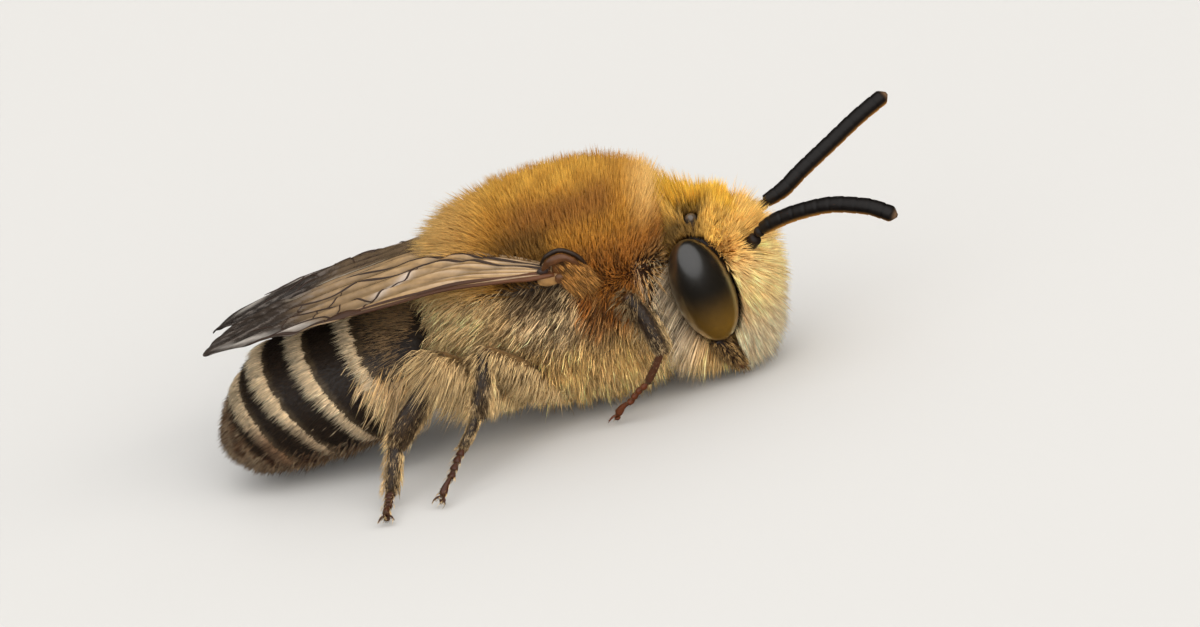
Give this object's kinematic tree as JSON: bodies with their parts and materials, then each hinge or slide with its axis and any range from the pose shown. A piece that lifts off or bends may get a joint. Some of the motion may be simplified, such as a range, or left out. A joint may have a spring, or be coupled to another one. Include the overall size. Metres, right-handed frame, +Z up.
{
  "type": "male plasterer bee",
  "caption": "Furry bee at rest on its feet with folded wings, cream face, golden back and a banded abdomen, as a still life-size model.",
  "frame": {"origin": "under the middle of the whole bee, on the floor it stands on", "axes": "+X is forward, towards the head; +Y is the bee's left; +Z is up"},
  "size_m": [0.0135, 0.0076, 0.0046],
  "materials": {
    "golden_fur": "soft golden brown fur",
    "cream_fur": "soft cream fur",
    "abdomen_shell": "dark horny plates with pale hair bands",
    "eye_black": "glossy black",
    "ocellus_glass": "clear gloss over dark brown",
    "dark_horn": "satin dark brown",
    "feeler_black": "black brown with a fine down",
    "wing_membrane": "smoky see-through film with brown veins",
    "leg_brown": "dark brown with pale hairs",
    "foot_russet": "red brown, satin"
  },
  "bodies": {
    "root": {"thorax": "golden_fur", "head": "cream_fur", "abdomen_1": "abdomen_shell", "abdomen_2": "abdomen_shell", "abdomen_3": "abdomen_shell", "abdomen_4": "abdomen_shell", "abdomen_5": "abdomen_shell", "abdomen_6": "abdomen_shell", "eye_right": "eye_black", "eye_left": "eye_black", "ocellus_front": "ocellus_glass", "ocellus_right": "ocellus_glass", "ocellus_left": "ocellus_glass", "mandible_right": "dark_horn", "scape_right": "feeler_black", "flagellum_right": "feeler_black", "tegula_right": "dark_horn", "forewing_right": "wing_membrane", "hindwing_right": "wing_membrane", "mandible_left": "dark_horn", "scape_left": "feeler_black", "flagellum_left": "feeler_black", "tegula_left": "dark_horn", "forewing_left": "wing_membrane", "hindwing_left": "wing_membrane", "fore_femur_right": "leg_brown", "fore_tibia_right": "leg_brown", "fore_basitarsus_right": "foot_russet", "fore_foot_right": "foot_russet", "fore_femur_left": "leg_brown", "fore_tibia_left": "leg_brown", "fore_basitarsus_left": "foot_russet", "fore_foot_left": "foot_russet", "mid_femur_right": "leg_brown", "mid_tibia_right": "leg_brown", "mid_basitarsus_right": "foot_russet", "mid_foot_right": "foot_russet", "mid_femur_left": "leg_brown", "mid_tibia_left": "leg_brown", "mid_basitarsus_left": "foot_russet", "mid_foot_left": "foot_russet", "hind_femur_right": "leg_brown", "hind_tibia_right": "leg_brown", "hind_basitarsus_right": "foot_russet", "hind_foot_right": "foot_russet", "hind_femur_left": "leg_brown", "hind_tibia_left": "leg_brown", "hind_basitarsus_left": "foot_russet", "hind_foot_left": "foot_russet"}
  },
  "joints": []
}
